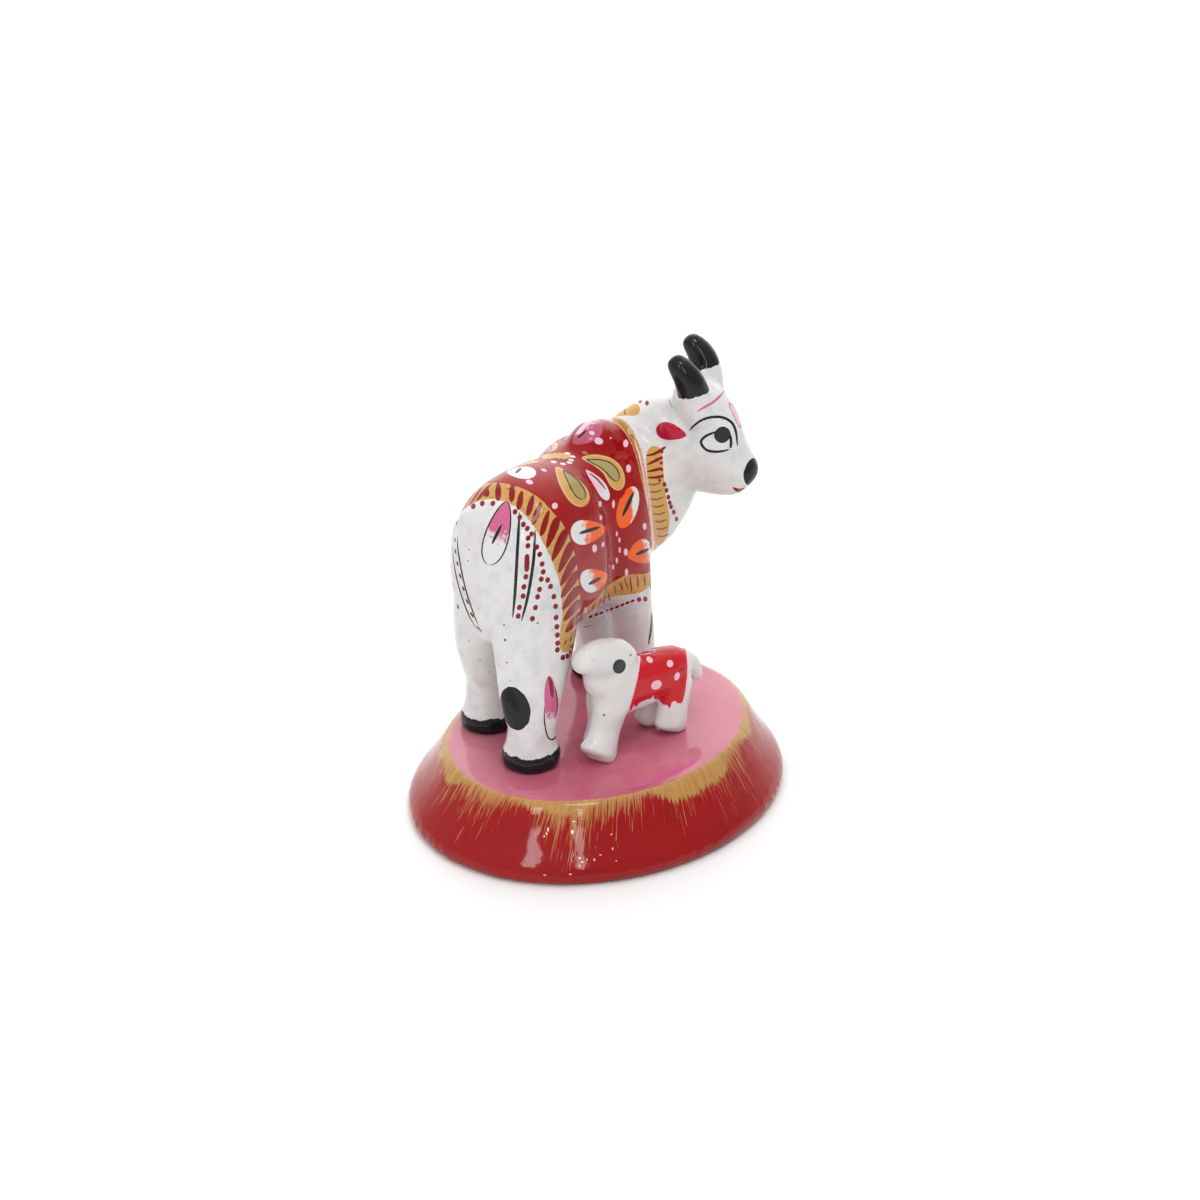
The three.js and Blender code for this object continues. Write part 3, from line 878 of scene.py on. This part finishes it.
# Groups of dots: half-length, half-width, colour, lean in degrees, mirrors and places
LEFT_ROW = [(541 - 4.1 * i, 566 + 10.5 * i) for i in range(8)]
DOTS = (
    # outside the cloth's rear edge: across the back, with two rows down the rump, and down the sides
    (2.9, 2.4, MAROON, 25, ONE_SIDE, (
        (473.3, 506.3), (482.3, 503.4), (492.9, 503.4), (515, 511.9), (519.8, 517.3), (523.4, 524.5),
        (527.4, 528.4), (531.6, 534.2), (528.2, 538.2), (527.9, 545.8), (525.8, 576.8), (523.9, 586.9),
        (523.1, 596.1), (519.4, 607.4), (518.2, 616), (541.3, 579.2), (539.5, 589.4), (537.6, 596.9),
        (535.5, 607.6), (532.4, 618.7))),
    (2.9, 2.4, MAROON, 25, BOTH_SIDES, (
        (536.8, 547.1), (539.7, 554.4), (542.1, 564), (543.2, 571.9), (547.6, 580), (550.6, 586.5),
        (553.9, 596.6), (555.6, 606.3), (556.1, 617.6), (556.9, 626.8), (557.4, 635), (557.7, 643.1),
        (557.4, 649.8), (562.9, 657.6), (567.5, 656), (571.3, 652.3), (573, 646.5))),
    (2.3, 1.6, MAROON, 25, LEFT_RUMP, (*LEFT_ROW, (549, 597), (543, 613), (534, 631))),
    # under the cloth's lower edge, and rounder in front
    (2.4, 1.2, MAROON, 60, BOTH_SIDES, (
        (590.8, 616.5), (596.5, 614.5), (601.5, 612.8), (606.5, 610.8), (611.5, 609), (617, 607),
        (622.5, 604.8), (627.5, 602.8), (632.5, 601))),
    (2.6, 2.2, MAROON, 0, BOTH_SIDES, ((639, 599.5), (645.3, 599))),
    # round the end of the gold stroke on the back
    (3.0, 1.1, WHITE, -80, ONE_SIDE, (
        (553.8, 461.9), (563, 463.8), (569.4, 462.5), (571, 460), (572.5, 456.5), (567.5, 453.4))),
    # in front of the collar, on the crest, and at the ends of the collar's strokes
    (2.5, 1.9, MAROON, 0, BOTH_NECK_SIDES, (
        (664.5, 484.4), (666.5, 490.3), (668.4, 497.1), (669.7, 502.7), (671, 506.8), (673.7, 512.1),
        (676.5, 519))),
    (2.5, 1.9, MAROON, 0, ONE_SIDE, ((640, 401), (647, 403))),
    (1.7, 1.5, DARK_RED, 0, ONE_SIDE, (
        (662, 451.8), (661.5, 457.8), (661.3, 463), (661.8, 469.5), (662, 476.3), (659.5, 480.3))),
)
# Round specks on the rump and the hind leg
SPECKS = (
    ((505, 640), 1.2, MAROON), ((504, 625), 1.0, GREY), ((507, 662.5), 0.9, GREY),
    ((480, 660), 0.8, ROSE), ((489, 672), 0.7, BLUE_GREY), ((537.6, 623), 1.3, BLUE_GREY),
    ((469, 641), 0.7, GREY),
)
# Pale dots on the red field, on its back and on its sides: place, half-length and half-width
BACK_LEAN = -70
BACK_DOTS = (
    ((529.4, 481.9), 3.7, 2.2), ((543.8, 470), 3.2, 1.2), ((554.8, 505.8), 2.9, 3.2),
    ((591.9, 433), 3.0, 2.0), ((598.8, 441), 4.4, 3.4),
)
FIELD_DOTS = (
    ((625.7, 443.4), 3.8, 2.5), ((628.5, 468.5), 4.0, 2.4), ((600, 504), 3.2, 1.7),
    ((613.5, 504), 4.2, 1.3), ((601, 517.5), 2.6, 1.4), ((644.7, 526.3), 3.4, 1.9),
    ((594.7, 548.4), 4, 2.4), ((603, 544.5), 2.6, 1.3), ((625.8, 552.1), 3.6, 2),
    ((616.8, 533.9), 2.6, 1.0), ((619.4, 540), 2.6, 1.0), ((619.7, 550), 3, 1.1),
    ((616.8, 560.5), 3, 1.1), ((613.2, 567), 2.6, 1), ((626.5, 572.3), 3.6, 1.7),
    ((585.8, 610.5), 3.4, 1.5), ((610.6, 438), 0.9, 0.9),
)
RUMP_DASH = (((527.2, 554), (526.7, 572)), 2.6)
PUPIL = ((722.4, 434.8), 8.4, 7.8)


def paint_wide(layer):
    for path, width, colour, more in WIDE_MARKS:
        layer.path(path, width, colour, **more)


def paint_fine(layer):
    for width, colour, more, paths in FINE_STROKES:
        for path in paths:
            layer.path(path, width, colour, **more)
    for i in range(COLLAR_LINES):
        y, left, right = np.add(COLLAR_LINE_FIRST, np.multiply(COLLAR_LINE_NEXT, i))
        middle = ((left + right) / 2, y + COLLAR_LINE_DIP)
        line = ((left, y), middle, (right, y - COLLAR_LINE_RISE))
        layer.path(line, COLLAR_LINE_WIDTH, BROWN, **ON_COLLAR)


def paint_dots(layer):
    for long, wide, colour, lean, mirrors, places in DOTS:
        for place in places:
            layer.dot(place, long, wide, colour, lean=lean, mirrors=mirrors)
    for place, radius, colour in SPECKS:
        layer.dot(place, radius, radius, colour)
    for dot in BACK_DOTS:
        layer.dot(*dot, PALE_PINK, lean=BACK_LEAN)
    for dot in FIELD_DOTS:
        layer.dot(*dot, PALE_PINK, **BOTH)
    layer.path(*RUMP_DASH, MAROON, fullness=5)
    layer.dot(*PUPIL, SLATE, lean=50, fullness=2.3, edge=BLACK, edge_width=1.4, mirrors=BOTH_CHEEKS)


def paint_cow(piece, eye):
    canvas = Canvas(piece, eye)
    write_region(canvas, "cloth", CLOTH_EDGE)
    write_region(canvas, "field", FIELD_EDGE)
    write_horns(canvas)
    write_spots(canvas)
    for name, paint in (("wide", paint_wide), ("fine", paint_fine), ("dots", paint_dots)):
        layer = Layer(name, canvas)
        paint(layer)
        layer.write()


# The cow's enamel

HOOF_HEIGHT = 2.5
# Patches in the white: their size, and the levels of noise between which they rise
THIN_PATCHES = (6.0, 0.4, 0.7)
BLOTCHES = (1.8, 0.42, 0.72)
BLUSHES = (4.0, 0.5, 0.75)
# Specks in the white: spacing in millimetres, greatest size as a share of it, and colour
WHITE_SPECKS = ((4.5, 0.05, GREY), (3.4, 0.035, ROSE), (2.8, 0.03, BLUE_GREY))


def white_enamel(shader, thinness):
    """Uneven white: greyish where it is thin, and specked blue-grey and pink."""
    patches = shader.patches(*THIN_PATCHES)
    blotches = shader.patches(*BLOTCHES, detail=3.0, seed=6.0)
    thin = shader.add(shader.times(patches, 0.4), shader.times(blotches, 0.8))
    ground = shader.mix(shader.times(thin, thinness), WHITE, GREY_WHITE)
    blush = shader.patches(*BLUSHES, seed=12.0)
    ground = shader.mix(shader.times(blush, 0.35), ground, ROSE_WHITE)
    for spacing, size, tone in WHITE_SPECKS:
        feeds = {"Vector": shader.place, "Scale": 1 / (spacing * MM)}
        cells = shader.node("ShaderNodeTexVoronoi", feeds)
        chance = shader.split(cells.outputs["Color"])[0]
        speck = shader.minus(shader.times(chance, size), cells.outputs["Distance"])
        ground = shader.lay(ground, tone, speck, softness=0.008)
    return ground


def cow_enamel():
    shader = Shader(bpy.data.materials.new("cow_enamel"))
    colour = white_enamel(shader, thinness=0.5)
    ragged = shader.wobble(size=0.7, amount=0.12, seed=8.0)
    worn = shader.times(shader.patches(size=0.45, low=0.45, high=0.75, detail=3.0), 0.5)
    gold = shader.mix(worn, GOLD, BROWN)
    colour = shader.lay(colour, gold, shader.add(shader.level("cloth"), ragged))
    colour = shader.lay(colour, RED, shader.add(shader.level("field"), ragged))
    horn = shader.add(shader.level("horn"), shader.wobble(size=1.2, amount=0.6))
    colour = shader.lay(colour, BLACK, horn, softness=0.05)
    height = shader.math("DIVIDE", shader.split(shader.place)[2], MM)
    height = shader.add(height, shader.wobble(size=1.4, amount=0.7))
    hoof = shader.minus(FEET + HOOF_HEIGHT, height)
    colour = shader.lay(colour, BLACK, hoof, softness=0.06)
    for layer in ("wide", "fine", "dots"):
        colour = marks_over(shader, layer, colour)
    brow = shader.add(shader.level("brow"), shader.wobble(size=0.8, amount=0.1))
    colour = shader.lay(colour, ROSE, brow)
    colour = shader.mix(shader.rise(brow, low=0.12, high=0.22), colour, PALE_PINK)
    for spot in ("tuft", "nose"):
        depth = shader.add(shader.level(spot), shader.wobble(size=0.8, amount=0.12))
        colour = shader.lay(colour, BLACK, depth)
    return shader.enamel(colour)


# What is painted on the calf

BLANKET = (
    (640.6, 653), (639.2, 670), (635, 689), (629.5, 710), (632, 708.5), (634, 704.5), (635.5, 707),
    (640, 702.5), (645.5, 700), (651.5, 698), (653, 695.5), (655, 699), (659, 700), (663, 704.5),
    (667, 705), (669.5, 708), (671.5, 703), (674.5, 701), (678, 703), (682.5, 701.5), (685.8, 686),
    (687.3, 668), (686, 652), (683, 638), (660, 636), (641, 641),
)
CALF_EYE = ((619.3, 666.4), 7.4, 6.3)
# Dots: place, half-length, half-width, colour and lean
BLANKET_DOTS = (
    ((649.6, 659.6), 3.8, 2.6, PALE_PINK, -45), ((670, 663.6), 3.6, 3.2, PALE_PINK, 0),
    ((677.1, 676.4), 4.2, 2.5, PALE_PINK, 20), ((656.4, 685), 5.6, 4.2, PALE_PINK, 55),
)
CALF_SPECKS = (((681.4, 669.3), 3.0, 1.3, DARK_RED, 50), ((630.7, 655), 1.4, 0.9, GREY, 50))
# Streaks along the blanket's top edge, painted shade in dark red and a painted highlight in pale pink:
# path, half-width and colour
BLANKET_TOP_SHADE_AND_HIGHLIGHT = (
    (((641, 653.5), (655, 652), (676, 650.5)), 0.9, DARK_RED),
    (((638.5, 651.5), (647, 650), (659, 648)), 0.9, PALE_PINK),
    (((639, 654.8), (649, 653.2), (656, 651)), 0.6, PALE_PINK),
    (((643, 646.5), (650, 648.5), (661, 648)), 1.1, DARK_RED),
)
MUZZLE_LINES = (((590.5, 656), (593, 660), (597.5, 658.5)), ((593, 660), (592.5, 663.5)))


def paint_calf(piece, eye):
    canvas = Canvas(piece, eye)
    canvas.write_cover("blanket", BLANKET, BOTH_CALF_SIDES)
    layer = Layer("dots", canvas)
    both = {"mirrors": BOTH_CALF_SIDES}
    layer.dot(*CALF_EYE, SLATE, lean=25, edge=BLACK, edge_width=1.4, **both)
    for *dot, lean in BLANKET_DOTS:
        layer.dot(*dot, lean=lean, **both)
    for *dot, lean in CALF_SPECKS:
        layer.dot(*dot, lean=lean)
    # painted shade and highlight along the blanket's top
    for streak in BLANKET_TOP_SHADE_AND_HIGHLIGHT:
        layer.path(*streak)
    for line in MUZZLE_LINES:
        layer.path(line, 0.5, PALE_PINK, **both)
    layer.write()


def calf_enamel():
    shader = Shader(bpy.data.materials.new("calf_enamel"))
    colour = white_enamel(shader, thinness=0.2)
    cover = shader.add(shader.level("blanket"), shader.wobble(size=0.6, amount=0.08))
    colour = shader.mix(shader.rise(cover, low=-0.2, high=-0.12), colour, PALE_PINK)
    colour = shader.lay(colour, BRIGHT_RED, cover)
    return shader.enamel(marks_over(shader, "dots", colour))


# What is painted on the base: a pink top, and gold brushed down from its rim over the red side

TOP_HALF_LENGTH = 27.4
TOP_HALF_WIDTH = 21.7
# Layers of strokes: their width, greatest length, how few are long, seed and colour
BRUSHWORK = (
    (0.17, 15.0, 2.6, 11.0, SALMON),
    (0.14, 12.0, 3.0, 17.0, GOLD),
    (0.20, 9.0, 1.6, 14.0, SALMON),
    (0.16, 6.5, 1.3, 21.0, GOLD),
)
# Painted reflection on the pink top, dark rose streaks where the figures show in the glossy enamel: path,
# half-width and taper
REFLECTION_STREAKS = (
    (((628, 784), (655, 778), (683, 768), (704, 755)), 1.8, 0.3),
    (((622, 788), (648, 783), (668, 776)), 1.2, 0.0),
)
# Flecks of metal on the base's side, with the glints that they show painted in as bright colour: pixel,
# half-length and half-width
PAINTED_GLINT_FLECKS = (
    ((547.9, 829.6), 2.4, 0.8), ((544.2, 836.4), 1.2, 0.7), ((546.4, 833.5), 1.6, 0.7),
    ((572.3, 832), 2.3, 1.5), ((574, 821.5), 0.5, 2.2), ((579.7, 858), 0.9, 1.2),
    ((582.1, 862.1), 0.6, 1.6), ((587, 859.7), 1.0, 0.6), ((594.3, 859.7), 1.4, 0.6),
    ((600.4, 854.8), 0.5, 1.1), ((544.7, 875.1), 0.5, 1.5), ((570.4, 874.3), 0.6, 1.3),
    ((579.7, 865.8), 1.2, 0.6), ((611.4, 834.5), 0.8, 0.8), ((612.7, 848.7), 1.3, 0.6),
    ((616.3, 860.9), 0.6, 0.6),
)


def write_drop(canvas, rim_height=0.15, rim_length=0.6, side_slope=1.14, radius=28, lean=0.1):
    """Writes how far each vertex is down from the rim, its place on a ring round the base, which
    turns down a leaning stroke, and how far aside it is as the photograph sees it."""
    x, y, z = canvas.points.T
    outside = (np.hypot(x / TOP_HALF_LENGTH, y / TOP_HALF_WIDTH) - 1) * TOP_HALF_WIDTH
    drop = np.where(z > BASE_TOP - rim_height, outside, (BASE_TOP - z) * side_slope + rim_length)
    drop = np.where(outside < 0, np.minimum(drop, outside), drop)
    angle = np.arctan2(y, x) + lean * np.maximum(drop, 0) / radius
    ring = np.column_stack([np.cos(angle) * radius, np.sin(angle) * radius, drop * 0.03])
    canvas.write_vertices("drop", drop)
    canvas.write_vertices("aside", x * math.cos(TURN) - y * math.sin(TURN))
    canvas.write_vertices("ring", ring, "FLOAT_VECTOR")


def paint_base(piece, eye):
    canvas = Canvas(piece, eye)
    write_drop(canvas)
    layer = Layer("dots", canvas)
    # dark rose streaks on the pink, a painted reflection of the figures
    for path, width, taper in REFLECTION_STREAKS:
        layer.path(path, width, ROSE, taper=taper)
    # the flecks' glints, painted as bright colour
    for dot in PAINTED_GLINT_FLECKS:
        layer.dot(*dot, PAINTED_GLINT_COLOUR)
    layer.write()


def brushed(shader, ring, size, longest, power, seed):
    """How far down from the rim each fine stroke of a brush reaches, in millimetres."""
    stroke = shader.patches(size, 0.3, 0.75, detail=1.0, vector=ring, seed=seed)
    patch = shader.patches(9.0, 0.3, 0.7, detail=1.0, vector=ring, seed=seed + 1)
    reach = shader.times(shader.math("POWER", stroke, power), longest)
    return shader.times(reach, shader.add(shader.times(patch, 0.75), 0.25))


def gold_band(shader, ring, drop, least=0.7, spread=2.6, bristle=0.9):
    """How far each place is inside the gold band under the rim, which is wider in places."""
    wide = shader.patches(13.0, 0.42, 0.62, detail=1.0, vector=ring, seed=23.0)
    bristles = shader.patches(0.25, 0.3, 0.7, detail=1.0, vector=ring, seed=26.0)
    band = shader.add(least, shader.times(wide, spread))
    return shader.minus(shader.add(band, shader.times(bristles, bristle)), drop)


def pink_top(shader):
    """Uneven pink, paler towards both sides with a painted sheen, the bright studio's reflection in the
    glossy top.
    """
    pink = shader.mix(shader.patches(size=9.0, low=0.4, high=0.7), PINK, LIGHT_PINK)
    aside = shader.rise(shader.math("ABSOLUTE", shader.level("aside")), low=6.0, high=24.0)
    return shader.mix(shader.times(aside, 0.55), pink, PINK_SHEEN)


def base_enamel():
    shader = Shader(bpy.data.materials.new("base_enamel"))
    drop = shader.level("drop")
    ring = shader.attribute("ring").outputs["Vector"]
    colour = shader.mix(shader.patches(size=7.0, low=0.4, high=0.7), RED, DEEP_RED)
    for size, longest, power, seed, tone in BRUSHWORK:
        left = shader.minus(brushed(shader, ring, size, longest, power, seed), drop)
        streaks = shader.mix(shader.noise(0.4, 2.0, ring, seed=seed + 2), tone, BRASS)
        stroke = shader.times(shader.rise(left, low=-0.2, high=1.2), 0.85)
        colour = shader.mix(stroke, colour, streaks)
    gold = shader.mix(shader.patches(0.5, 0.1, 0.9, vector=ring, seed=28.0), GOLD, BRASS)
    band = shader.rise(gold_band(shader, ring, drop), low=-0.15, high=0.5)
    colour = shader.mix(band, colour, gold)
    rim = shader.minus(shader.add(0.1, shader.wobble(size=3.0, amount=0.5)), drop)
    colour = shader.lay(colour, pink_top(shader), rim, softness=0.12)
    return shader.enamel(marks_over(shader, "dots", colour), BASE_GLOSS, BASE_WAVE_HEIGHT)


# The floor: half its size, in metres, and its two tones

FLOOR_SIZE = 6
PAPER = (0.92, 0.92, 0.92)
PALE_PAPER = (0.95, 0.95, 0.95)


def make_floor():
    mesh = bpy.data.meshes.new("floor")
    corners = [(x * FLOOR_SIZE, y * FLOOR_SIZE, 0) for x, y in ((-1, -1), (1, -1), (1, 1), (-1, 1))]
    mesh.from_pydata(corners, [], [(0, 1, 2, 3)])
    floor = bpy.data.objects.new("floor", mesh)
    bpy.context.scene.collection.objects.link(floor)
    shader = Shader(bpy.data.materials.new("paper"))
    paper = shader.mix(shader.noise(size=900), PAPER, PALE_PAPER)
    mesh.materials.append(shader.surface(paper, roughness=0.6))


# The pieces: the grain of each one's squares in millimetres, and its rounds of smoothing

BASE_SMOOTHING = (0.8, 12)
COW_SMOOTHING = (0.62, 60)
CALF_SMOOTHING = (0.36, 130)


def make_base(eye):
    base = smoothed("oval_base", "base_casting", *BASE_SMOOTHING)
    paint_base(base, eye)
    dress(base, "oval_base", base_enamel())


def make_cow(eye):
    cow = smoothed("cow", "cow_casting", *COW_SMOOTHING)
    plant(cow)
    paint_cow(cow, eye)
    dress(cow, "cow", cow_enamel())


def make_calf(eye):
    calf = smoothed("calf", "calf_casting", *CALF_SMOOTHING)
    plant(calf)
    nuzzle(calf)
    paint_calf(calf, eye)
    dress(calf, "calf", calf_enamel())


bpy.context.scene.view_settings.view_transform = "Standard"
photo_eye = Eye(make_camera())
make_lights()
make_floor()
make_base(photo_eye)
make_cow(photo_eye)
make_calf(photo_eye)
